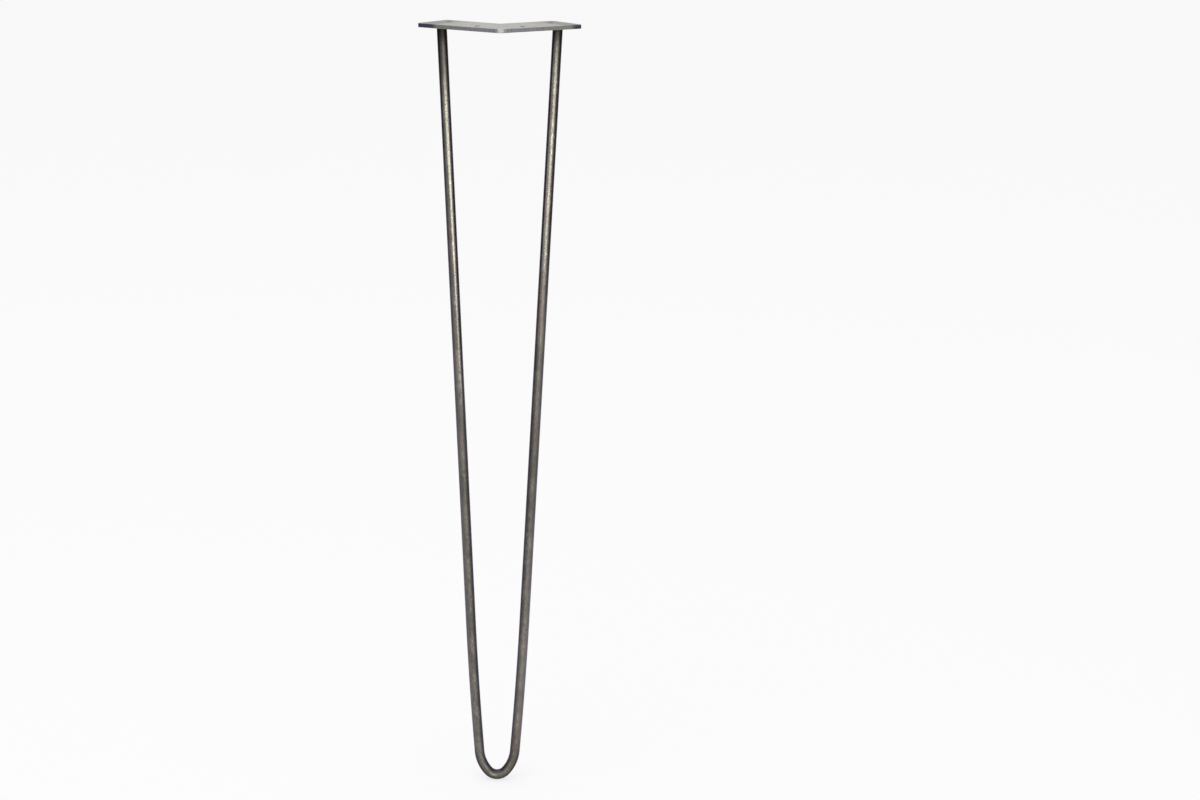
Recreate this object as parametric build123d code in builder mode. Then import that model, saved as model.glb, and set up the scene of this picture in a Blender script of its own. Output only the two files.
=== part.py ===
"""Hairpin table leg: a bent steel rod welded under a V-shaped mounting plate.

Millimetres, +Z up. The origin lies on the plate's mounting face, where the centre lines of
its two arms meet. X runs across the leg, -Y points out of the table's corner, and the leg
hangs down to the floor.
"""

import os
from math import acos, atan2, cos, degrees, hypot, radians, sin, tan

from build123d import *

# Overall height, from the mounting face to the floor
leg_height = 762.0

# Mounting plate
plate_thickness = 4.0
plate_width = 160.0
arm_width = 42.0
arm_angle = 30.0
end_cut_angle = 48.0
outer_corner_radius = 8.0
inner_corner_radius = 6.0
tip_radius = 2.5
back_corner_radius = 5.0
rim_radius = 0.4

# Screw holes through the plate
hole_diameter = 5.5
front_hole_spacing = 44.0
front_hole_edge = 12.0
rear_hole_spacing = 100.0
rear_hole_edge = 15.0

# Bent rod
rod_diameter = 10.0
rod_spacing = 113.5
rod_edge = 8.0
splay_angle = 6.0
nose_radius = 12.0
nose_half_turn = 48.0
shoulder_radius = 36.0
run_in_radius = 3900.0
run_in_turn = 2.0

# Weld beads behind the rod's ends
weld_reach = 4.0
weld_height = 4.5
weld_flare = 0.5
weld_toe = 0.3

# Plate outline, worked out from the arms' centre lines. A tip's rounding takes a little off
# its reach, so the edges would meet a little beyond the plate's overall width.
arm_slope = tan(radians(arm_angle))
half_arm_rise = arm_width / 2 / cos(radians(arm_angle))
tip_half_angle = radians(end_cut_angle + arm_angle) / 2
tip_turn = radians(end_cut_angle - arm_angle) / 2
tip_x = plate_width / 2 + tip_radius * (cos(tip_turn) / sin(tip_half_angle) - 1)
tip_y = tip_x * arm_slope - half_arm_rise
cut_slope = tan(radians(end_cut_angle))
back_x = tip_x - 2 * half_arm_rise / (cut_slope + arm_slope)
back_y = back_x * arm_slope + half_arm_rise


def height_on_arm(x, from_outer_edge):
    """Y of a point on the right arm, by its X and its distance from the outer edge."""
    return x * arm_slope - half_arm_rise + from_outer_edge / cos(radians(arm_angle))


front_hole_y = height_on_arm(front_hole_spacing / 2, front_hole_edge)
rear_hole_y = height_on_arm(rear_hole_spacing / 2, arm_width - rear_hole_edge)

# Mounting plate: one flat V with rounded corners and four screw holes
with BuildPart() as mounting_plate:
    with BuildSketch(Plane.XY.offset(-plate_thickness)) as plate_outline:
        with BuildLine():
            Polyline(
                (0, -half_arm_rise),
                (tip_x, tip_y),
                (back_x, back_y),
                (0, half_arm_rise),
                (-back_x, back_y),
                (-tip_x, tip_y),
                close=True,
            )
        make_face()
        fillet(plate_outline.vertices().sort_by(Axis.Y)[0], outer_corner_radius)
        fillet(plate_outline.vertices().sort_by(Axis.Y)[-2:], back_corner_radius)
        fillet(plate_outline.vertices().sort_by(lambda corner: abs(corner.X))[0], inner_corner_radius)
        columns = plate_outline.vertices().group_by(Axis.X)
        fillet(columns[0] + columns[-1], tip_radius)
    extrude(amount=plate_thickness)
    rim = mounting_plate.faces().filter_by(Axis.Z).edges()
    fillet(rim, rim_radius)
    with Locations((0, front_hole_y, 0)):
        with GridLocations(front_hole_spacing, 0, 2, 1):
            Hole(hole_diameter / 2, plate_thickness)
    with Locations((0, rear_hole_y, 0)):
        with GridLocations(rear_hole_spacing, 0, 2, 1):
            Hole(hole_diameter / 2, plate_thickness)

# Rod's leaning plane: its local x runs across the leg, its local y up along the rods
rod_radius = rod_diameter / 2
rod_x = rod_spacing / 2
rod_y = height_on_arm(rod_x, rod_edge)
splay = radians(splay_angle)
rod_plane = Plane(
    origin=(0, rod_y, -plate_thickness),
    x_dir=(1, 0, 0),
    z_dir=(0, -cos(splay), sin(splay)),
)

# Bend: a tight nose, two shoulders and two long run-ins, each tangent to the next.
# The lean of the straight rods follows from where they meet the plate.
bend_depth = (leg_height - plate_thickness - rod_radius) / cos(splay)
nose_end = radians(90 - nose_half_turn)
turn = radians(run_in_turn)
across = rod_x + (shoulder_radius - nose_radius) * cos(nose_end)
down = bend_depth - nose_radius - (shoulder_radius - nose_radius) * sin(nose_end)
reach = shoulder_radius * cos(turn) + run_in_radius * (1 - cos(turn))
rod_lean = acos(reach / hypot(across, down)) - atan2(down, across)
shoulder_end = rod_lean + turn
straight_overrun = 2 * rod_radius


def arc_point(centre, radius, angle):
    """Point on an arc, by its angle below the local x axis."""
    return (centre[0] + radius * cos(angle), centre[1] - radius * sin(angle))


def mirrored(point):
    """The same point on the leg's other side."""
    return (-point[0], point[1])


nose_centre = (0, nose_radius - bend_depth)
nose_tip = arc_point(nose_centre, nose_radius, radians(90))
nose_stop = arc_point(nose_centre, nose_radius, nose_end)
shoulder_centre = arc_point(nose_stop, -shoulder_radius, nose_end)
shoulder_middle = arc_point(shoulder_centre, shoulder_radius, (nose_end + shoulder_end) / 2)
shoulder_stop = arc_point(shoulder_centre, shoulder_radius, shoulder_end)
run_in_centre = arc_point(shoulder_stop, -run_in_radius, shoulder_end)
run_in_middle = arc_point(run_in_centre, run_in_radius, (shoulder_end + rod_lean) / 2)
run_in_stop = arc_point(run_in_centre, run_in_radius, rod_lean)
rod_top = (rod_x + straight_overrun * tan(rod_lean), straight_overrun)

# Bent rod: one length of round bar, its ends cut level to lie against the plate
with BuildPart() as bent_rod:
    with BuildLine(rod_plane) as rod_line:
        Line(mirrored(rod_top), mirrored(run_in_stop))
        ThreePointArc(mirrored(run_in_stop), mirrored(run_in_middle), mirrored(shoulder_stop))
        ThreePointArc(mirrored(shoulder_stop), mirrored(shoulder_middle), mirrored(nose_stop))
        ThreePointArc(mirrored(nose_stop), nose_tip, nose_stop)
        ThreePointArc(nose_stop, shoulder_middle, shoulder_stop)
        ThreePointArc(shoulder_stop, run_in_middle, run_in_stop)
        Line(run_in_stop, rod_top)
    with BuildSketch(Plane(origin=rod_line.line @ 0, z_dir=rod_line.line % 0)):
        Circle(rod_radius)
    sweep()
    split(bisect_by=Plane.XY.offset(-plate_thickness), keep=Keep.BOTTOM)

# Weld beads: each fills the corner between the plate and the back of one rod end.
# A bead starts inside the rod's outline, and the rod is then cut out of it.
bead_depth = rod_radius + weld_reach
toe_depth = rod_radius + weld_toe
toe_x = rod_x - weld_height / cos(splay) * tan(rod_lean)
toe_y = rod_y - weld_height * tan(splay)


def weld_bead(side):
    """Bead at the rod end on one side: -1 is the left, 1 is the right."""
    with BuildPart() as bead:
        with BuildSketch(Plane.XY.offset(-plate_thickness)):
            with Locations((side * rod_x, rod_y + bead_depth / 2)):
                Ellipse(rod_radius + weld_flare, bead_depth / 2)
        with BuildSketch(Plane.XY.offset(-plate_thickness - weld_height)):
            with Locations((side * toe_x, toe_y + toe_depth / 2)):
                Ellipse(rod_radius, toe_depth / 2)
        loft()
        add(bent_rod.part, mode=Mode.SUBTRACT)
    return bead.part


left_weld = weld_bead(-1)
right_weld = weld_bead(1)

mounting_plate.part.label = "mounting_plate"
bent_rod.part.label = "bent_rod"
left_weld.label = "left_weld"
right_weld.label = "right_weld"

os.makedirs("parts", exist_ok=True)
export_step(mounting_plate.part, "parts/mounting_plate.step")
export_step(bent_rod.part, "parts/bent_rod.step")
export_step(left_weld, "parts/left_weld.step")
export_step(right_weld, "parts/right_weld.step")

print("straight rods lean in by", round(degrees(rod_lean), 2), "degrees")
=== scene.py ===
# %% [markdown]
# # A hairpin table leg in raw steel
#
# A hairpin leg is one steel bar bent into a tall, narrow U. Its two ends are welded under a flat
# V-shaped plate, and the plate is screwed under the corner of a table. The leg is left bare, so
# what the eye sees is the steel itself: the long marks of the drawing die on the bar, the rolled
# grain of the plate, dark scale where the welds were hot, and soft reflections of a studio.
#
# The construction model already has the true sizes. It is loaded first, as a fixed frame, and
# every piece that is made here takes its place from that frame, in metres, with Z up.

from math import acos, atan2, cos, hypot, pi, radians, sin

import bpy
from mathutils import Matrix, Vector


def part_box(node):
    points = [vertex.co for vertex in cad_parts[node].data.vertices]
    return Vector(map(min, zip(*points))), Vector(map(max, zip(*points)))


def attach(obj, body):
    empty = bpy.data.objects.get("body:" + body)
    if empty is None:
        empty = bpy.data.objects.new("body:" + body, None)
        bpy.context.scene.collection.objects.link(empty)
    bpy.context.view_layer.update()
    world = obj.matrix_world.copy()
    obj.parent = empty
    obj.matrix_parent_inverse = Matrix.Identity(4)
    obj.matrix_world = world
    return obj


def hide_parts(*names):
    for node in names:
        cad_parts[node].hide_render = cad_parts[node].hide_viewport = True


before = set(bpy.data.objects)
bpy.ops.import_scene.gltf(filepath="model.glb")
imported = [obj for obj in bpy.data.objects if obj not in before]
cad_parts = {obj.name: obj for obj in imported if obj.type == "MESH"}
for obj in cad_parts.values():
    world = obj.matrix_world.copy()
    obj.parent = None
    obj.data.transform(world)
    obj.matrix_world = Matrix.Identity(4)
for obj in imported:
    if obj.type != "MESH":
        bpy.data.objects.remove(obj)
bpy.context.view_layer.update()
plate_low, plate_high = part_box("mounting_plate")
rod_low, rod_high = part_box("bent_rod")
UNDERSIDE = plate_low.z
FLOOR = rod_low.z
print("pieces in the frame:", sorted(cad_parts))
print("the leg stands", round(plate_high.z - FLOOR, 4), "m tall")

# %% [markdown]
# ## The camera
#
# The leg is seen from straight in front and a little above, from about two and a half metres away
# through a long lens, so its two rods look nearly as they would in a drawing. A new camera looks
# straight down along its own -Z. It is tilted up until it looks a little below the horizon, then
# swung to the right so that the leg stands left of the middle, and rolled by a fifth of a degree,
# because the real camera wasn't quite level. Turning the camera is better than shifting its lens
# here: the other views keep a shift, and it would push the leg off centre in them.

# %% Aim the camera
CAMERA_PLACE = Vector((0, -2.4697, 0.2793))
LENS_LENGTH = 75.75
SENSOR_WIDTH = 36
LOOK_DOWN = radians(14.853)
LOOK_RIGHT = radians(2.303)
ROLL = radians(0.21)

camera_data = bpy.data.cameras.new("front_camera")
camera_data.lens = LENS_LENGTH
camera_data.sensor_width = SENSOR_WIDTH
camera = bpy.data.objects.new("front_camera", camera_data)
bpy.context.collection.objects.link(camera)
tilt = Matrix.Rotation(pi / 2 - LOOK_DOWN, 4, "X")
swing = Matrix.Rotation(-LOOK_RIGHT, 4, "Y")
roll = Matrix.Rotation(ROLL, 4, "Z")
camera.matrix_world = Matrix.Translation(CAMERA_PLACE) @ tilt @ swing @ roll
bpy.context.scene.camera = camera
print("the camera stands", round(CAMERA_PLACE.length, 3), "m from the plate")

# %% [markdown]
# ## Shader maths in plain Python
#
# A procedural material is a small program drawn as nodes. Placing every Math node by name makes
# the program hard to read, so one class wraps a socket, and Python's own operators between such
# wires add the Math nodes. Every other kind of node comes from its one method, which takes the
# node's type, its settings, and what goes into its sockets.

# %% A wire between nodes
class Wire:
    """An output socket in a node tree. Operators on wires and numbers add Math nodes."""

    def __init__(self, tree, socket=None):
        self.tree = tree
        self.socket = socket

    def node(self, kind, settings=None, sockets=None, output=0):
        """Adds a node: its settings come first, then its sockets' values or links."""
        made = self.tree.nodes.new("ShaderNode" + kind)
        for name, value in (settings or {}).items():
            setattr(made, name, value)
        for name, value in (sockets or {}).items():
            if isinstance(value, Wire):
                self.tree.links.new(value.socket, made.inputs[name])
            else:
                made.inputs[name].default_value = value
        return Wire(self.tree, made.outputs[output])

    def other(self, output):
        """Another output of the same node."""
        return Wire(self.tree, self.socket.node.outputs[output])

    def into(self, node, name):
        """Links this wire to a socket of a node that is already there."""
        self.tree.links.new(self.socket, node.inputs[name])

    def math(self, operation, first, second=0.0):
        return self.node("Math", {"operation": operation}, {0: first, 1: second})

    def __add__(self, value):
        return self.math("ADD", self, value)

    def __sub__(self, value):
        return self.math("SUBTRACT", self, value)

    def __rsub__(self, value):
        return self.math("SUBTRACT", value, self)

    def __mul__(self, value):
        return self.math("MULTIPLY", self, value)

    def __truediv__(self, value):
        return self.math("DIVIDE", self, value)

    def __pow__(self, value):
        return self.math("POWER", self, value)

    def __abs__(self):
        return self.math("ABSOLUTE", self)

    __radd__ = __add__
    __rmul__ = __mul__

    def larger(self, value):
        return self.math("MAXIMUM", self, value)

    def smaller(self, value):
        return self.math("MINIMUM", self, value)


def new_material(name):
    """A material with nothing but its shader: the material, its first wire and the shader."""
    material = bpy.data.materials.new(name)
    material.use_nodes = True
    return material, Wire(material.node_tree), material.node_tree.nodes["Principled BSDF"]


print("operators on wires add Math nodes")

# %% [markdown]
# ## The floor and the white studio
#
# The leg stands on a white sweep that runs up behind it with no edge. Making it white with strong
# lamps would burn out the steel, so the floor's own material does it: rays from the camera, and
# rays that mirror off metal, see mostly a white of strength 1, and the rest of what they see is an
# ordinary pale floor that still takes the leg's shadow. The world round it shows the brightness of
# the floor far away, so no line shows where the floor ends.

# %% Paint the floor
WHITE = (1, 1, 1, 1)
FLOOR_PAINT = (0.9, 0.9, 0.9, 1)
FLOOR_ROUGHNESS = 0.9
WHITE_SHARE = 0.7


def seen_directly(wire):
    """1 for rays that show the background itself: from the camera, mirrored or passed on."""
    path = wire.node("LightPath", output="Is Camera Ray")
    return path.larger(path.other("Is Glossy Ray")).larger(path.other("Is Transmission Ray"))


floor_finish, floor_wire, floor_shader = new_material("studio_floor")
floor_shader.inputs["Base Color"].default_value = FLOOR_PAINT
floor_shader.inputs["Roughness"].default_value = FLOOR_ROUGHNESS
floor_shader.inputs["Specular IOR Level"].default_value = 0.0
painted = Wire(floor_wire.tree, floor_shader.outputs["BSDF"])
white = floor_wire.node("Emission", None, {"Color": WHITE, "Strength": 1.0})
white_share = seen_directly(floor_wire) * WHITE_SHARE
both = floor_wire.node("MixShader", None, {0: white_share, 1: painted, 2: white})
both.into(floor_wire.tree.nodes["Material Output"], "Surface")
print("the floor shows", WHITE_SHARE, "of white over its paint")

# %% Lay the floor
FLOOR_SIZE = 60

bpy.ops.object.select_all(action="DESELECT")
bpy.ops.mesh.primitive_plane_add(size=FLOOR_SIZE, location=(0, 0, FLOOR))
floor = bpy.context.object
floor.name = "studio_floor"
floor.data.materials.append(floor_finish)
print("the floor lies at", round(FLOOR, 4), "m")

# %% Surround it with white
AMBIENT = 0.9
FAR_FLOOR = WHITE_SHARE + (1 - WHITE_SHARE) * FLOOR_PAINT[0] * AMBIENT

world = bpy.data.worlds.new("white_studio")
world.use_nodes = True
bpy.context.scene.world = world
background = world.node_tree.nodes["Background"]
background.inputs["Color"].default_value = WHITE
brightness = seen_directly(Wire(world.node_tree)) * (FAR_FLOOR - AMBIENT) + AMBIENT
brightness.into(background, "Strength")
bpy.context.scene.view_settings.view_transform = "Standard"
print("ambient light", AMBIENT, "and seen from afar", round(FAR_FLOOR, 3))

# %% [markdown]
# ## Lamps and flags
#
# Bare steel has hardly a colour of its own: it shows what stands round it. Most of the light here
# is the even light of the room, and a wide overhead lamp adds a little from above and the left.
# Two more things draw the shape of the rods. A long soft panel in front, a little to the right of
# the camera, gives the warm band down the upper half of each rod. The room at the sides is dark,
# and gives the dark line down both flanks. Photographers set black flags for that, and so does
# this scene: two dark cards outside the picture. The panel and the flags are seen in the metal
# only, so they leave no patch of light or shade on the floor.

# %% Hang the lamps
LEG_MIDDLE = Vector((0, 0, FLOOR / 2))
OVERHEAD_PLACE = Vector((-0.5, -0.8, 2.0))
OVERHEAD_SIZE = (2.0, 2.0)
OVERHEAD_POWER = 14
NEUTRAL = (1, 1, 1)
PANEL_PLACE = Vector((0.475, -2.9, 0.0))
PANEL_AIM = Vector((0, 0, PANEL_PLACE.z))
PANEL_SIZE = (2.8, 0.5)
PANEL_POWER = 39
WARM = (1.0, 0.975, 0.92)


def soft_lamp(name, place, aim, size, power, colour):
    """A rectangular soft lamp that looks at a point and that the camera doesn't see."""
    data = bpy.data.lights.new(name, "AREA")
    data.shape = "RECTANGLE"
    data.size, data.size_y = size
    data.energy = power
    data.color = colour
    lamp = bpy.data.objects.new(name, data)
    lamp.location = place
    lamp.rotation_euler = (aim - place).to_track_quat("-Z", "Y").to_euler()
    lamp.visible_camera = False
    bpy.context.collection.objects.link(lamp)
    return lamp


overhead = soft_lamp(
    "overhead_lamp", OVERHEAD_PLACE, LEG_MIDDLE, OVERHEAD_SIZE, OVERHEAD_POWER, NEUTRAL
)
panel = soft_lamp("front_panel", PANEL_PLACE, PANEL_AIM, PANEL_SIZE, PANEL_POWER, WARM)
panel.visible_diffuse = False
print("lamps:", overhead.name, panel.name)

# %% Stand the flags
FLAG_PLACES = (-0.9, 1.05)
FLAG_FRONT = -0.42
FLAG_BACK = 1.2
FLAG_BOTTOM = -0.55
FLAG_TOP = 0.6
FLAG_GREY = (0.15, 0.138, 0.170, 1)

flag_finish, _, flag_shader = new_material("grey_flag")
flag_shader.inputs["Base Color"].default_value = FLAG_GREY
flag_shader.inputs["Roughness"].default_value = 1.0
for flag_x in FLAG_PLACES:
    flag_middle = (flag_x, (FLAG_FRONT + FLAG_BACK) / 2, (FLAG_BOTTOM + FLAG_TOP) / 2)
    bpy.ops.object.select_all(action="DESELECT")
    bpy.ops.mesh.primitive_plane_add(size=1, location=flag_middle, rotation=(0, pi / 2, 0))
    flag = bpy.context.object
    flag.name = "grey_flag"
    flag.scale = (FLAG_TOP - FLAG_BOTTOM, FLAG_BACK - FLAG_FRONT, 1)
    flag.data.materials.append(flag_finish)
    flag.visible_camera = False
    flag.visible_diffuse = False
    flag.visible_shadow = False
print("flags at", FLAG_PLACES)

# %% [markdown]
# ## The bent bar
#
# The rod is one round bar, and at the foot it is bent in steps: a tight nose, two wider shoulders and
# two very long run-ins that bring it into the straight. The frame's own mesh has the right shape, but
# its flats show in a reflection. A bevelled curve would be round, but a chain of Bezier handles only
# comes near to true arcs. Bending it as a machine does is exact: start with a circle at the top of the
# left rod, extrude it down the straight, spin it about each bend's own centre, extrude it up the other
# side, and cut both ends level where the plate lies on them.
#
# All bends lie in one plane, which leans because the leg splays out. Places in that plane are
# given as two numbers, across the leg and up along the rods.

# %% Work out the bends
BAR_RADIUS = 0.005
ROD_SPACING = 0.1135
SPLAY = radians(6)
NOSE_RADIUS = 0.012
NOSE_HALF_TURN = radians(48)
SHOULDER_RADIUS = 0.036
RUN_IN_RADIUS = 3.9
RUN_IN_TURN = radians(2)

rod_x = ROD_SPACING / 2
rod_y = rod_high.y - BAR_RADIUS / cos(SPLAY)
bend_depth = (UNDERSIDE - FLOOR - BAR_RADIUS) / cos(SPLAY)
radius_step = SHOULDER_RADIUS - NOSE_RADIUS
far_across = rod_x + radius_step * sin(NOSE_HALF_TURN)
far_down = bend_depth - NOSE_RADIUS - radius_step * cos(NOSE_HALF_TURN)
run_in_reach = SHOULDER_RADIUS * cos(RUN_IN_TURN) + RUN_IN_RADIUS * (1 - cos(RUN_IN_TURN))
rod_lean = acos(run_in_reach / hypot(far_across, far_down)) - atan2(far_down, far_across)
shoulder_turn = pi / 2 - NOSE_HALF_TURN - RUN_IN_TURN - rod_lean
shoulder_end = NOSE_HALF_TURN + shoulder_turn
run_in_end = shoulder_end + RUN_IN_TURN
print("the rods lean in by", round(rod_lean, 4), "rad")

# %% Find the centres of the bends
def from_centre(centre, radius, turn):
    """The point of a bend that lies this turn away from its lowest point, on the right side."""
    return Vector((centre.x + radius * sin(turn), centre.y - radius * cos(turn)))


nose_centre = Vector((0, NOSE_RADIUS - bend_depth))
nose_stop = from_centre(nose_centre, NOSE_RADIUS, NOSE_HALF_TURN)
shoulder_centre = from_centre(nose_stop, -SHOULDER_RADIUS, NOSE_HALF_TURN)
shoulder_stop = from_centre(shoulder_centre, SHOULDER_RADIUS, shoulder_end)
run_in_centre = from_centre(shoulder_stop, -RUN_IN_RADIUS, shoulder_end)
run_in_stop = from_centre(run_in_centre, RUN_IN_RADIUS, run_in_end)
straight_way = Vector((sin(rod_lean), cos(rod_lean)))
straight_length = -run_in_stop.y / cos(rod_lean)
print("each rod is straight for", round(straight_length, 4), "m")

# %% Set up the bending
rod_across = Vector((1, 0, 0))
rod_up = Vector((0, sin(SPLAY), cos(SPLAY)))
rod_front = Vector((0, -cos(SPLAY), sin(SPLAY)))
rod_origin = Vector((0, rod_y, UNDERSIDE))


def way_in_frame(way):
    """A direction of the leaning plane, in the frame."""
    return rod_across * way.x + rod_up * way.y


def in_frame(point):
    """A point of the leaning plane, in the frame."""
    return rod_origin + way_in_frame(point)


def turned_along(way):
    """The rotation of a round primitive whose axis runs along a direction of the leaning plane."""
    return way_in_frame(way).to_track_quat("Z", "Y").to_euler()


def on_left(point):
    """The same point on the leg's left side."""
    return Vector((-point.x, point.y))


def spin_bend(centre, turn, steps):
    """Sweeps the selected ring of the bar about a bend's centre."""
    bpy.ops.mesh.spin(steps=steps, angle=turn, center=in_frame(centre), axis=-rod_front)


def push_straight(way, length):
    """Extrudes the selected ring of the bar along the leaning plane, in two halves."""
    for half in range(2):
        move = {"value": way_in_frame(way) * (length / 2)}
        bpy.ops.mesh.extrude_region_move(TRANSFORM_OT_translate=move)


print("the bends turn about", tuple(round(part, 3) for part in rod_front))

# %% Bend the bar
BAR_SIDES = 64
OVERRUN = 2 * BAR_RADIUS
RUN_IN_STEPS = 12
SHOULDER_STEPS = 24
NOSE_STEPS = 48

whole_straight = straight_length + OVERRUN
left_top = in_frame(on_left(run_in_stop + straight_way * whole_straight))
down_left = Vector((straight_way.x, -straight_way.y))
bpy.ops.object.select_all(action="DESELECT")
bpy.ops.mesh.primitive_circle_add(
    vertices=BAR_SIDES, radius=BAR_RADIUS, location=left_top, rotation=turned_along(down_left)
)
rod = bpy.context.object
rod.name = "bent_bar"
rod.data.name = "bent_bar"
bpy.ops.object.transform_apply(location=True, rotation=True, scale=True)
bpy.ops.object.mode_set(mode="EDIT")
bpy.ops.mesh.select_all(action="SELECT")
push_straight(down_left, whole_straight)
spin_bend(on_left(run_in_centre), RUN_IN_TURN, RUN_IN_STEPS)
spin_bend(on_left(shoulder_centre), shoulder_turn, SHOULDER_STEPS)
spin_bend(nose_centre, 2 * NOSE_HALF_TURN, NOSE_STEPS)
spin_bend(shoulder_centre, shoulder_turn, SHOULDER_STEPS)
spin_bend(run_in_centre, RUN_IN_TURN, RUN_IN_STEPS)
push_straight(straight_way, whole_straight)
bpy.ops.object.mode_set(mode="OBJECT")
print("the bar is bent from", len(rod.data.vertices) // BAR_SIDES, "rings")

# %% Cut its ends level
TRIM_TOUCH = 1e-7
MERGE_REACH = 1e-6
BAR_CREASE = radians(40)


def edit_all(*steps):
    """Runs steps in edit mode, each on the whole mesh of the active piece."""
    bpy.ops.object.mode_set(mode="EDIT")
    for step in steps:
        bpy.ops.mesh.select_all(action="SELECT")
        step()
    bpy.ops.object.mode_set(mode="OBJECT")


def trim_under_plate():
    """Cuts off what reaches above the underside of the plate, and closes the cut."""
    level = {"plane_co": (0, 0, UNDERSIDE), "plane_no": (0, 0, 1)}
    bpy.ops.mesh.bisect(**level, threshold=TRIM_TOUCH, use_fill=True, clear_outer=True)


def merge_and_face_outward():
    """Merges doubled points and turns every face outward."""
    bpy.ops.mesh.remove_doubles(threshold=MERGE_REACH)
    bpy.ops.mesh.select_all(action="SELECT")
    bpy.ops.mesh.normals_make_consistent(inside=False)


edit_all(trim_under_plate, merge_and_face_outward)
bpy.ops.object.shade_smooth_by_angle(angle=BAR_CREASE)
lowest = min(vertex.co.z for vertex in rod.data.vertices)
print("bent bar:", len(rod.data.vertices), "points, lowest", round(lowest, 5), "m")

# %% [markdown]
# ## A measure along the bar
#
# Drawing marks run the length of the bar and follow it round the bend, which no pattern on plain
# coordinates can do. So each point of the bar stores where it was before bending: how far out and
# how far forward it lay in the bar's section, and how far along the bar it was from the middle of
# the bend, negative on the left rod. A material reads that as an attribute, and its patterns then
# bend with the steel.

# %% Straighten the bar in numbers
NOSE_LENGTH = NOSE_RADIUS * NOSE_HALF_TURN
SHOULDER_LENGTH = SHOULDER_RADIUS * shoulder_turn
RUN_IN_LENGTH = RUN_IN_RADIUS * RUN_IN_TURN
BEND_HALF = NOSE_LENGTH + SHOULDER_LENGTH + RUN_IN_LENGTH
HALF_LENGTH = BEND_HALF + straight_length
BENDS = (
    (nose_centre, NOSE_RADIUS, 0, NOSE_HALF_TURN, 0),
    (shoulder_centre, SHOULDER_RADIUS, NOSE_HALF_TURN, shoulder_end, NOSE_LENGTH),
    (run_in_centre, RUN_IN_RADIUS, shoulder_end, run_in_end, NOSE_LENGTH + SHOULDER_LENGTH),
)


def before_bending(place):
    """Where a point of the bent bar lay in the straight one: outward, forward and along."""
    flat = place - rod_origin
    front = flat.dot(rod_front)
    side = -1 if flat.dot(rod_across) < 0 else 1
    point = Vector((abs(flat.dot(rod_across)), flat.dot(rod_up)))
    for centre, radius, start, end, passed in BENDS:
        turn = atan2(point.x - centre.x, centre.y - point.y)
        if turn <= end:
            bent_length = passed + radius * (turn - start)
            return Vector(((point - centre).length - radius, front, side * bent_length))
    beyond = point - run_in_stop
    out = beyond.x * straight_way.y - beyond.y * straight_way.x
    return Vector((out, front, side * (BEND_HALF + beyond.dot(straight_way))))


measure = rod.data.attributes.new("before_bending", "FLOAT_VECTOR", "POINT")
for vertex, entry in zip(rod.data.vertices, measure.data):
    entry.vector = before_bending(vertex.co)
lengths = [entry.vector.z for entry in measure.data]
print("the bar was", round(max(lengths) - min(lengths), 3), "m long before bending")

# %% [markdown]
# ## A map to bake on
#
# Other programs can't run shader nodes, so an exported model carries pictures of its finishes, and a
# picture needs a flat map of the surface. Blender can lay one out by itself, but it would lay the bar
# down as it stands, a thin line in a mostly empty square, and the fine marks would blur. So the bar is
# unrolled here: slit along its back and cut into five lengths, which lie over each other in the square
# like strips of tape. The measure along the bar already holds all that this needs.

# %% Cut the strips
STRIP_ENDS = (
    -HALF_LENGTH,
    -BEND_HALF - straight_length / 2,
    -BEND_HALF,
    BEND_HALF,
    BEND_HALF + straight_length / 2,
    HALF_LENGTH,
)
STRIPS = len(STRIP_ENDS) - 1
STRIP_MARGIN = 0.004
CAP_ROOM = 0.04
CAP_SIZE = 0.4 * CAP_ROOM
STRIP_STEP = (1 - CAP_ROOM) / STRIPS
STRIP_WIDTH = STRIP_STEP - 3 * STRIP_MARGIN


def strip_place(measured, strip, middle):
    """Place on the map of a point of the bar, as part of a face whose middle lies at that angle."""
    start, end = STRIP_ENDS[strip:strip + 2]
    angle = atan2(measured.x, measured.y)
    angle = angle + 2 * pi * round((middle - angle) / (2 * pi))
    length = STRIP_MARGIN + (1 - 2 * STRIP_MARGIN) * (measured.z - start) / (end - start)
    return (length, STRIP_STEP * (strip + 0.5) - STRIP_WIDTH * angle / (2 * pi))


def cap_place(measured):
    """Place on the map of a point on the rim of one of the bar's ends, above the strips."""
    middle = CAP_ROOM * (0.5 if measured.z < 0 else 1.5)
    size = CAP_SIZE / BAR_RADIUS
    return (middle + size * measured.x, 1 - CAP_ROOM / 2 - size * measured.y)


print("each strip is", round(STRIP_WIDTH, 3), "of the map wide")

# %% Unroll the bar
def lay_on_map(face):
    """Gives each corner of one face of the bar its place on the map."""
    points = [measure.data[vertex].vector for vertex in face.vertices]
    centre = sum(points, Vector()) / len(points)
    middle = atan2(centre.x, centre.y)
    strip = sum(centre.z > end for end in STRIP_ENDS[1:-1])
    capped = len(points) == BAR_SIDES
    for loop, point in zip(face.loop_indices, points):
        bar_map.data[loop].uv = cap_place(point) if capped else strip_place(point, strip, middle)


bar_map = rod.data.uv_layers[0]
bar_map.name = "OFBake"
for face in rod.data.polygons:
    lay_on_map(face)
print("the bar lies on its map in", STRIPS, "strips")

# %% [markdown]
# ## Marks, fades and layers
#
# All three finishes of the leg are made in the same few moves. Noise gives the marks, and it has as
# many marks to a metre as each direction needs, so that they can be drawn out along a bar or across
# a plate. A fade turns a measure or a noise into a mask between 0 and 1. Colours are then laid over
# the steel one after the other, each where its mask is and as strongly as it should show. Painting
# an image by hand could give the same marks, but they would blur close up.

# %% Helpers for a finish
def times(value, factors):
    """A colour or place with each of its three parts multiplied by a factor of its own."""
    return value.node("VectorMath", {"operation": "MULTIPLY"}, {0: value, 1: factors})


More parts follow.
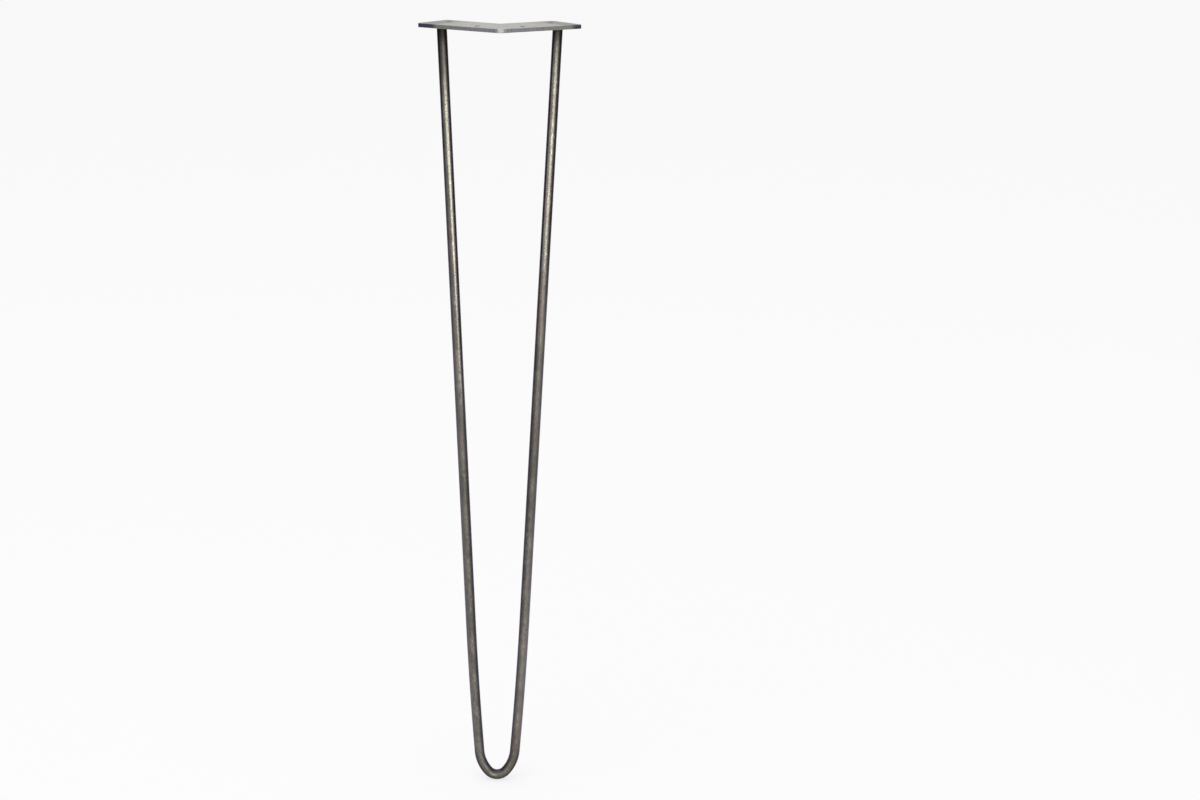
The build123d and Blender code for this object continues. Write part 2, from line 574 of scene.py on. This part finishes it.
def marks(place, x, y, z, detail=2, roughness=0.5):
    """Noise about one half, with so many marks to a metre in each direction of a place."""
    sockets = {"Vector": times(place, (x, y, z)), "Scale": 1, "Detail": detail, "Roughness": roughness}
    return place.node("TexNoise", None, sockets)


def fade(value, start, end):
    """0 at start and 1 at end, with a smooth step between them."""
    settings = {"interpolation_type": "SMOOTHSTEP"}
    return value.node("MapRange", settings, {"Value": value, "From Min": start, "From Max": end})


def near(value, middle, core, reach):
    """1 within a core on both sides of a middle, and 0 past a reach from it."""
    return 1 - fade(abs(value - middle), core, reach)


def blend(mask, start, end):
    """A colour that turns from start to end as a mask goes from 0 to 1."""
    settings = {"data_type": "RGBA", "clamp_factor": True}
    return mask.node("Mix", settings, {0: mask, 6: start, 7: end}, output=2)


def layered(colour, *layers):
    """A colour with layers over it, each one a mask, how strongly it shows, and its paint."""
    for mask, strength, paint in layers:
        colour = blend(mask * strength, colour, paint)
    return colour


def finish_metal(shader, colour, roughness, relief, relief_strength, relief_depth):
    """Links the colour, roughness and relief of a bare metal to its shader."""
    shader.inputs["Metallic"].default_value = 1.0
    colour.into(shader, "Base Color")
    roughness.into(shader, "Roughness")
    sockets = {"Strength": relief_strength, "Distance": relief_depth, "Height": relief}
    relief.node("Bump", None, sockets).into(shader, "Normal")


print("a finish is marks, fades and layers")

# %% [markdown]
# ## Drawn steel for the bar
#
# The bar is cold drawn and bare. Its grain is long and fine, with a few deeper die marks, short light
# streaks and small pits, and its hue wanders a little from patch to patch. The finish is built in
# layers: the steel with its marks, bands of painted light and shade, then the dark top under the plate
# and the marks at the foot. All of it reads the measure along the bar, so that it can tell the left
# rod from the right one, the outer side of the bend from the inner, and how far down from the plate it
# is.

# %% Read the measure
SIDE_CHANGE = 0.01

bar_finish, bar_wire, bar_shader = new_material("rod_steel")
on_bar = bar_wire.node("Attribute", {"attribute_name": "before_bending"}, output="Vector")
outward = bar_wire.node("SeparateXYZ", None, {0: on_bar})
forward = outward.other("Y")
along = outward.other("Z")
from_plate = HALF_LENGTH - abs(along)
right = fade(along, -SIDE_CHANGE, SIDE_CHANGE)
left = 1 - right
sideways = outward / BAR_RADIUS
inward = 0 - sideways
print("the measure runs", round(HALF_LENGTH, 3), "m down from the plate to the foot")

# %% Draw its marks
grain = marks(on_bar, 2400, 2400, 14, detail=3, roughness=0.6)
die_marks = marks(on_bar, 600, 600, 3)
cloud = marks(on_bar, 110, 110, 55, detail=4, roughness=0.65)
patch = marks(on_bar, 40, 40, 16, detail=3)
mottle = marks(on_bar, 430, 430, 236.5, detail=3, roughness=0.65)
dashes = marks(on_bar, 1500, 1500, 240, detail=3, roughness=0.6)
streak = fade(dashes, 0.53, 0.8) * fade(cloud, 0.36, 0.58)
pit = fade(marks(on_bar, 1900, 1900, 950), 0.62, 0.7)
tint = marks(on_bar, 95, 95, 42.75, detail=3, roughness=0.6).other("Color")
print("the marks took", len(bar_wire.tree.nodes), "nodes so far")

# %% [markdown]
# ## Where the bar is bright and where it is dull
#
# The upper part of the bar is bright, and below it the steel is duller. The border between them is
# ragged, and on the left rod it runs on a slant, much lower on the inner side than on the outer.
# Just under the plate the bar is painted nearly black, a painted shade of the plate's overhang, and
# the darkening fades out along the bar, sooner on the right rod. A mask for each is worked out here
# from the distance down from the plate, with some noise added to it, because no such border is a clean
# ring.

# %% Part the bright from the dull
BRIGHT_LENGTH = 0.195
BRIGHT_LONGER = 0.06
BRIGHT_SLANT = 0.62
SLANT_INNER = -0.3
SLANT_OUTER = 0.12
BRIGHT_FADE = 0.045
RAGGEDNESS = 0.06
LOW_STRETCH = (0.4, 0.6)

ragged = from_plate + RAGGEDNESS * (patch - 0.5)
# The slant moves where the highlight ends on the left rod: the darker dull steel past that border is
# in part painted shade.
slant = sideways.larger(SLANT_INNER).smaller(SLANT_OUTER) * left
bright_end = BRIGHT_LENGTH + BRIGHT_LONGER * right - BRIGHT_SLANT * slant
dull = fade(ragged, bright_end - BRIGHT_FADE, bright_end + BRIGHT_FADE)
low = fade(from_plate, *LOW_STRETCH)
print("the steel is bright for about", BRIGHT_LENGTH, "m under the plate")

# %% Find the dark top under the plate
DARK_TOP_LENGTH = 0.069
DARK_TOP_SHORTER = 0.031
DARK_TOP_RAGGEDNESS = 0.012
DARK_TOP_POWER = 1.1
DARK_TOP_SOFTER = 0.25

dark_top_length = DARK_TOP_LENGTH - DARK_TOP_SHORTER * right
dark_top_power = DARK_TOP_POWER - DARK_TOP_SOFTER * right
below_plate = (from_plate + DARK_TOP_RAGGEDNESS * (cloud - 0.5)).larger(0)
# Just under the plate the bar's colour is painted nearly black, a painted shade of the plate's
# overhang, and the darkening fades out down the bar.
dark_top = (1 - (below_plate / dark_top_length) ** dark_top_power).larger(0)
print("the scale reaches down to", DARK_TOP_LENGTH, "m")

# %% [markdown]
# ## The colours of the bar
#
# Bright steel has a warm grey of its own, and the worn steel is darker, mottled grey and olive with a
# brown breath of rust on the right rod. Over the steel lie long soft bands: painted shade and a
# painted highlight that set where the highlight runs down the rods, painted light on the outer flanks
# and painted shade on the inner ones, and a few stretches that are only darker or lighter. Each is one
# line of a list here: its mask, how strongly it shows, and its paint, so a learner can take one line
# out and see what it did.

# %% Lay the bright and the worn steel
BRIGHT_DARKEST = (0.150, 0.142, 0.120, 1)
BRIGHT_LIGHTEST = (0.220, 0.209, 0.176, 1)
WORN_DARKEST = (0.090, 0.085, 0.074, 1)
WORN_LIGHTEST = (0.150, 0.141, 0.121, 1)
SHADE = (0.020, 0.018, 0.015, 1)
PAINTED_HIGHLIGHT = (0.33, 0.31, 0.26, 1)
PAINTED_HIGHLIGHT_START = (0.06, 0.13)

clouded = fade(cloud, 0.35, 0.68)
outer_half = fade(sideways, -0.35, 0.05)
crest = near(sideways, 0, core=0.08, reach=0.3)
inner_band = fade(inward, 0.12, 0.3) * (1 - fade(inward, 0.42, 0.6))
# Painted shade dims the right rod's outer half and the crest of the left rod in the bright stretch,
# and a painted highlight lightens a band on the inner front of both rods below the plate: together
# they set where the highlight runs.
bright = layered(
    blend(clouded, BRIGHT_DARKEST, BRIGHT_LIGHTEST),
    (right * outer_half, 0.42, SHADE),
    (left * crest, 0.26, SHADE),
    (inner_band * fade(from_plate, *PAINTED_HIGHLIGHT_START), 0.35, PAINTED_HIGHLIGHT),
)
worn = blend(clouded, WORN_DARKEST, WORN_LIGHTEST)
bare_steel = blend(dull, bright, worn)
print("the bare steel took", len(bar_wire.tree.nodes), "nodes so far")

# %% Add the marks and the rust
RUST_PLACES = ((0.285, 0.035), (0.397, 0.026), (0.612, 0.022), (0.72, 0.05))
RUST_CORE = 0.4
RUST = (0.150, 0.105, 0.078, 1)
DIE_MARK = (0.08, 0.074, 0.067, 1)
GRAIN_SHINE = (0.25, 0.24, 0.205, 1)
MOTTLE = (0.055, 0.050, 0.044, 1)
STREAK = (0.46, 0.44, 0.39, 1)
PIT = (0.040, 0.036, 0.032, 1)

rust_rings = sum(
    near(ragged, down, core=RUST_CORE * reach, reach=reach) for down, reach in RUST_PLACES
)
marked_steel = layered(
    bare_steel,
    (rust_rings * right * fade(patch, 0.3, 0.6), 0.6, RUST),
    (fade(die_marks, 0.55, 0.72), 0.35, DIE_MARK),
    (fade(grain, 0.35, 0.75), 0.25, GRAIN_SHINE),
    (fade(mottle, 0.52, 0.72), 0.46 + 0.15 * dull + 0.15 * low, MOTTLE),
    (streak, 0.8 - 0.25 * dull + 0.3 * low, STREAK),
    (pit, 0.5, PIT),
)
print("rust in", len(RUST_PLACES), "places on the right rod")

# %% Shade the stretches and the sides
HALF_WAY_DOWN = 0.43
LEFT_SHADE_DOWN = 0.545
RIGHT_SHINE_DOWN = 0.655
LOWER_SHINE = (0.24, 0.226, 0.200, 1)
PAINTED_OUTER_LIGHT = (0.24, 0.226, 0.208, 1)
PAINTED_INNER_SHADE = (0.045, 0.042, 0.058, 1)

half_way = near(ragged, HALF_WAY_DOWN, core=0.03, reach=0.1)
left_stretch = left * near(ragged, LEFT_SHADE_DOWN, core=0.03, reach=0.075)
right_stretch = right * near(from_plate, RIGHT_SHINE_DOWN, core=0.03, reach=0.065)
outer_side = fade(sideways, 0.1, 0.5) * dull
inner_side = fade(inward - 0.12 * right, 0.35, 0.8)
# Painted light lightens the outer flank of the dull steel, and painted shade darkens the inner flank
# of both rods, more towards the foot. The first three bands only make stretches of the bar darker or
# lighter.
shaded_steel = layered(
    marked_steel,
    (half_way, 0.18 + 0.1 * right, SHADE),
    (left_stretch, 0.18, SHADE),
    (right_stretch, 0.2, LOWER_SHINE),
    (outer_side, 0.27, PAINTED_OUTER_LIGHT),
    (inner_side, 0.45 + 0.25 * low, PAINTED_INNER_SHADE),
)
print("with its shades it took", len(bar_wire.tree.nodes), "nodes so far")

# %% [markdown]
# ## Hue, the dark top and the foot
#
# The flanks have a mauve cast, and the hue wanders a little everywhere. Blending in a colour would
# flatten the marks below, so red, green and blue are each multiplied by a number of their own near 1
# instead. The dark top under the plate then lies over it all, and so do the marks at the foot: the
# nose is darker, its sole is painted black, a painted shade of the shadowed floor it stands on, and a
# small spot on its front is lighter.

# %% Tint the steel
MAUVE_CAST = (1.0, 0.95, 1.16)
TINT_STRENGTH = 0.27
NO_CHANGE = 1 - TINT_STRENGTH / 2

flank = fade(abs(sideways), 0.25, 0.6)
mauve_steel = blend(flank, shaded_steel, times(shaded_steel, MAUVE_CAST))
tint_change = tint.node(
    "VectorMath",
    {"operation": "MULTIPLY_ADD"},
    {0: tint, 1: Vector.Fill(3, TINT_STRENGTH), 2: Vector.Fill(3, NO_CHANGE)},
)
tinted_steel = times(mauve_steel, tint_change)
print("the hue wanders by up to", TINT_STRENGTH / 2)

# %% Darken the top and mark the foot
DARK_TOP_SHADE = (0.016, 0.014, 0.014, 1)
FOOT_DARKER = (0.060, 0.053, 0.045, 1)
SOLE_PAINTED_SHADE = (0.018, 0.015, 0.013, 1)
LIGHT_SPOT = (0.36, 0.33, 0.27, 1)
LIGHT_SPOT_PLACE = -0.0042

at_foot = near(along, 0, core=0.015, reach=0.05)
sole = fade(sideways, 0.3, 0.75) * at_foot
light_spot_length = near(along, LIGHT_SPOT_PLACE, core=0.001, reach=0.006)
light_spot_height = near(outward, 0, core=0.0003, reach=0.0016)
light_spot = light_spot_length * light_spot_height * fade(forward, 0.001, 0.004)
# The sole's black is painted shade, standing for the shadowed floor the sole mirrors where it stands.
# The nose is only made darker and a small spot on its front lighter.
bar_colour = layered(
    tinted_steel,
    (dark_top, 1, DARK_TOP_SHADE),
    (at_foot, 0.3, FOOT_DARKER),
    (sole, 0.92, SOLE_PAINTED_SHADE),
    (light_spot, 0.5, LIGHT_SPOT),
)
print("the whole colour took", len(bar_wire.tree.nodes), "nodes")

# %% [markdown]
# ## How the bar shines
#
# Polish shows more than colour on bare metal. The bright stretch gives a tighter highlight than the
# dull one or the dark top under the plate. A new set of noises could roughen the surface, but the
# marks that coloured the steel do it better: they also change its roughness a little, and stand up or
# lie sunk in it, so light and colour agree.

# %% Polish the bar
BRIGHT_ROUGHNESS = 0.28
DULLER = 0.20
DARK_TOP_DULLER = 0.15
DRAWN_RELIEF = 0.12
DRAWN_DEPTH = 0.0004

polish = BRIGHT_ROUGHNESS + DULLER * dull + DARK_TOP_DULLER * dark_top
bar_roughness = polish + 0.08 * (cloud - 0.5) + 0.1 * (grain - 0.5) + 0.12 * (mottle - 0.5)
bar_relief = 0.5 * grain + 0.8 * die_marks + 0.4 * cloud + 0.6 * mottle - 0.5 * pit
finish_metal(bar_shader, bar_colour, bar_roughness, bar_relief, DRAWN_RELIEF, DRAWN_DEPTH)

rod.data.materials.append(bar_finish)
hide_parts("bent_rod")
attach(rod, "root")
print("the bar is finished in", rod.data.materials[0].name)

# %% [markdown]
# ## The weld beads
#
# Each rod end is held by one short weld behind it, where it doesn't show from the front. A weld is
# a row of ripples, each a puddle of steel that set as the torch moved on, so a smooth fillet would
# look cast. The ripples are modelled as the welder lays them: a flattened ball for each puddle,
# in an arc round the back of the bar, largest in the middle. A voxel remesh melts them into one
# skin, and a bisect trims it level with the plate. The bar is then cut out of it, with a plain
# length of the same bar that runs on past the plate: the bent bar's own end lies in the plane of
# the trim, and two faces in one plane leave a torn edge. The skin is split into triangles before
# that, so that each of its faces is flat and meets a flat of the bar in one straight line. The
# second bead is a mirrored copy with its own mesh.

# %% Lay the ripples of one bead
RIPPLES = 11
BEAD_TURN = radians(60)
BEAD_REACH = 0.0039
END_SHRINK = 0.72
SHRINK_POWER = 2.4
PUDDLE_SEGMENTS = 32
PUDDLE_RINGS = 16
PUDDLE_LEAN = radians(18)
PUDDLE_SHAPE = (0.42, 1, 1.12)


def lay_puddle(step):
    """Adds one flattened ball to the arc behind the right end of the bar, and returns it."""
    from_middle = 2 * step / (RIPPLES - 1) - 1
    turn = BEAD_TURN * from_middle
    bpy.ops.mesh.primitive_uv_sphere_add(
        segments=PUDDLE_SEGMENTS,
        ring_count=PUDDLE_RINGS,
        radius=BEAD_REACH * (1 - END_SHRINK * abs(from_middle) ** SHRINK_POWER),
        location=(rod_x + BAR_RADIUS * sin(turn), rod_y + BAR_RADIUS * cos(turn), UNDERSIDE),
        calc_uvs=False,
    )
    puddle = bpy.context.object
    puddle.rotation_euler = (0, PUDDLE_LEAN, -turn)
    puddle.scale = PUDDLE_SHAPE
    return puddle


bpy.ops.object.select_all(action="DESELECT")
puddles = [lay_puddle(step) for step in range(RIPPLES)]
for puddle in puddles:
    puddle.select_set(True)
bpy.ops.object.join()
right_bead = bpy.context.object
right_bead.name = "right_weld_bead"
bpy.ops.object.transform_apply(location=True, rotation=True, scale=True)
print("one bead has", len(puddles), "ripples")

# %% Melt it and trim it
BEAD_VOXEL = 0.0002
MELT_FACTOR = 0.5
MELT_ROUNDS = 2


def apply_modifier(piece, kind, **settings):
    """Adds a modifier to the active piece and applies it at once."""
    modifier = piece.modifiers.new(kind.lower(), kind)
    for name, value in settings.items():
        setattr(modifier, name, value)
    bpy.ops.object.modifier_apply(modifier=modifier.name)


apply_modifier(right_bead, "REMESH", mode="VOXEL", voxel_size=BEAD_VOXEL)
apply_modifier(right_bead, "SMOOTH", factor=MELT_FACTOR, iterations=MELT_ROUNDS)
edit_all(trim_under_plate, bpy.ops.mesh.quads_convert_to_tris)
print("the melted bead has", len(right_bead.data.polygons), "faces")

# %% Cut the bar out of it
CUTTER_LENGTH = 8 * BAR_RADIUS
BEAD_CREASE = radians(50)

bpy.ops.object.select_all(action="DESELECT")
bpy.ops.mesh.primitive_cylinder_add(
    vertices=BAR_SIDES,
    radius=BAR_RADIUS,
    depth=CUTTER_LENGTH,
    location=(rod_x, rod_y, UNDERSIDE),
    rotation=turned_along(straight_way),
    calc_uvs=False,
)
cutter = bpy.context.object
bpy.ops.object.select_all(action="DESELECT")
right_bead.select_set(True)
bpy.context.view_layer.objects.active = right_bead
apply_modifier(right_bead, "BOOLEAN", operation="DIFFERENCE", solver="EXACT", object=cutter)
bpy.data.objects.remove(cutter)
edit_all(merge_and_face_outward)
bpy.ops.object.shade_smooth_by_angle(angle=BEAD_CREASE)
print("the fitted bead has", len(right_bead.data.polygons), "faces")

# %% Mirror it
bpy.ops.object.select_all(action="DESELECT")
right_bead.select_set(True)
bpy.ops.object.duplicate()
left_bead = bpy.context.object
left_bead.name = "left_weld_bead"
left_bead.scale.x = -1
bpy.ops.object.transform_apply(location=True, rotation=True, scale=True)
edit_all(merge_and_face_outward)
print("beads:", right_bead.name, left_bead.name)

# %% [markdown]
# ## Weld metal
#
# Weld metal sets rough and dark, with a breath of blue and straw where it was hottest, and flecks
# of soot. Its ripples are real shapes, so their crests catch the light by themselves, and the
# finish only needs two noises: a wide one for the heat and a fine one for the soot and its grain.

# %% Mix the weld metal
HOT_BLUE = (0.10, 0.10, 0.115, 1)
HOT_STRAW = (0.20, 0.175, 0.145, 1)
SOOT = (0.035, 0.032, 0.03, 1)
WELD_ROUGHNESS = 0.42
WELD_RELIEF = 0.2
WELD_DEPTH = 0.0003

bead_finish, bead_wire, bead_shader = new_material("weld_metal")
on_bead = bead_wire.node("TexCoord", output="Object")
hot = fade(marks(on_bead, 260, 260, 260, detail=3, roughness=0.6), 0.35, 0.65)
soot = marks(on_bead, 700, 700, 700)
weld_colour = layered(blend(hot, HOT_BLUE, HOT_STRAW), (fade(soot, 0.5, 0.7), 0.6, SOOT))
weld_roughness = WELD_ROUGHNESS + 0.25 * (soot - 0.5)
finish_metal(bead_shader, weld_colour, weld_roughness, soot, WELD_RELIEF, WELD_DEPTH)

for bead, node in ((left_bead, "left_weld"), (right_bead, "right_weld")):
    bead.data.materials.clear()
    bead.data.materials.append(bead_finish)
    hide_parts(node)
    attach(bead, "root")
print("the beads are finished in", bead_finish.name)

# %% [markdown]
# ## Rolled steel for the plate
#
# The frame's own plate has the right shape, with rounded corners and a softened rim, so it stays and
# only gets its finish: rolled grey steel with a warm cast and a faint rolling grain across the leg.
# The welding heat went right through it, so the ends of the arms are duller on top, with a breath of
# straw before them, and tempered blue and purple on their edge. The sheared edge is darker and rougher
# than the faces, with short upright marks, and the front corner has a few bright spots, a painted
# glint.
#
# The plate is flat, so plain Object coordinates are enough to read it by, and the way a face points
# tells the edge from the top and the underside.

# %% Read the plate
plate_finish, plate_wire, plate_shader = new_material("plate_steel")
on_plate = plate_wire.node("TexCoord", output="Object")
across = plate_wire.node("SeparateXYZ", None, {0: on_plate})
deep = across.other("Y")
facing = plate_wire.node("NewGeometry", output="Normal")
upward = plate_wire.node("SeparateXYZ", None, {0: facing}, output="Z")
edge = 1 - fade(abs(upward), 0.2, 0.8)
under = fade(0 - upward, 0.5, 0.9)

rolling = marks(on_plate, 60, 1400, 1400, detail=3, roughness=0.6)
haze = marks(on_plate, 70, 70, 70, detail=4, roughness=0.6)
speck = fade(marks(on_plate, 900, 900, 900), 0.6, 0.72)
shear = marks(on_plate, 1500, 1500, 90)
glint_spots = fade(marks(on_plate, 520, 520, 1040, detail=4, roughness=0.65), 0.4, 0.68)
print("the plate's marks took", len(plate_wire.tree.nodes), "nodes so far")

# %% Colour its faces
END_CUT = radians(48)
CUT_CORNER = Vector((0.0814, 0.0228))
ROLLED_DARKEST = (0.325, 0.319, 0.287, 1)
ROLLED_LIGHTEST = (0.427, 0.418, 0.378, 1)
SPECK = (0.16, 0.15, 0.135, 1)
STRAW = (0.30, 0.29, 0.235, 1)
DULLED = (0.132, 0.126, 0.134, 1)
HEAT_SCALE = (0.06, 0.052, 0.055, 1)
STRAW_BORDER = (0.026, 0.044)
DULLED_BORDER = (0.015, 0.024)
HEAT_BORDER = (0.008, 0.02)


def distance(place, point):
    """How far a place is from a point."""
    sockets = {0: place, 1: point}
    return place.node("VectorMath", {"operation": "DISTANCE"}, sockets, output="Value")


from_cut = (CUT_CORNER.x - abs(across)) * sin(END_CUT) + (CUT_CORNER.y - deep) * cos(END_CUT)
straw = 1 - fade(from_cut + 0.008 * (haze - 0.5), *STRAW_BORDER)
dulled = 1 - fade(from_cut + 0.006 * (haze - 0.5), *DULLED_BORDER)
both_arms = on_plate.node("VectorMath", {"operation": "ABSOLUTE"}, {0: on_plate})
from_weld = distance(both_arms, (rod_x, rod_y, -UNDERSIDE))
heat = (1 - fade(from_weld + 0.006 * (haze - 0.5), *HEAT_BORDER)) * under
face_colour = layered(
    blend(fade(haze, 0.35, 0.68), ROLLED_DARKEST, ROLLED_LIGHTEST),
    (speck, 0.25, SPECK),
    (straw, 0.6, STRAW),
    (dulled, 0.82, DULLED),
    (heat, 0.8, HEAT_SCALE),
)
print("the faces took", len(plate_wire.tree.nodes), "nodes so far")

# %% Colour its edge
DARK_END = 0.068
DARK_END_SHIFT = 0.004
DARK_END_FADE = 0.003
STRAW_START = (0.03, 0.055)
FRONT_CORNER = (0.0028, -0.0226, -0.0012)
CORNER_BORDER = (0.002, 0.0075)
SHEARED_DARKEST = (0.21, 0.202, 0.224, 1)
SHEARED_LIGHTEST = (0.315, 0.30, 0.33, 1)
EDGE_STRAW = (0.26, 0.255, 0.205, 1)
TEMPER_PURPLE = (0.054, 0.041, 0.096, 1)
PAINTED_GLINT = (0.66, 0.64, 0.64, 1)

tempered = fade(abs(across - DARK_END_SHIFT), DARK_END - DARK_END_FADE, DARK_END + DARK_END_FADE)
edge_colour = layered(
    blend(fade(shear, 0.3, 0.7), SHEARED_DARKEST, SHEARED_LIGHTEST),
    (fade(abs(across), *STRAW_START), 0.7, EDGE_STRAW),
    (tempered, 0.88, TEMPER_PURPLE),
)
# The bright spots on the front corner are a painted glint.
at_corner = 1 - fade(distance(on_plate, FRONT_CORNER), *CORNER_BORDER)
plate_colour = layered(blend(edge, face_colour, edge_colour), (at_corner * glint_spots, 0.6, PAINTED_GLINT))
print("the edge is tempered beyond", DARK_END, "m from the middle")

# %% Polish the plate
ROLLED_ROUGHNESS = 0.34
EDGE_DULLER = 0.18
ROLLED_RELIEF = 0.12
ROLLED_DEPTH = 0.0004

plate_polish = ROLLED_ROUGHNESS + EDGE_DULLER * edge
plate_roughness = plate_polish + 0.12 * (haze - 0.5) + 0.1 * (rolling - 0.5)
plate_relief = rolling + edge * shear
finish_metal(plate_shader, plate_colour, plate_roughness, plate_relief, ROLLED_RELIEF, ROLLED_DEPTH)

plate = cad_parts["mounting_plate"]
plate.data.materials.clear()
plate.data.materials.append(plate_finish)
print("the plate is finished in", plate.data.materials[0].name)
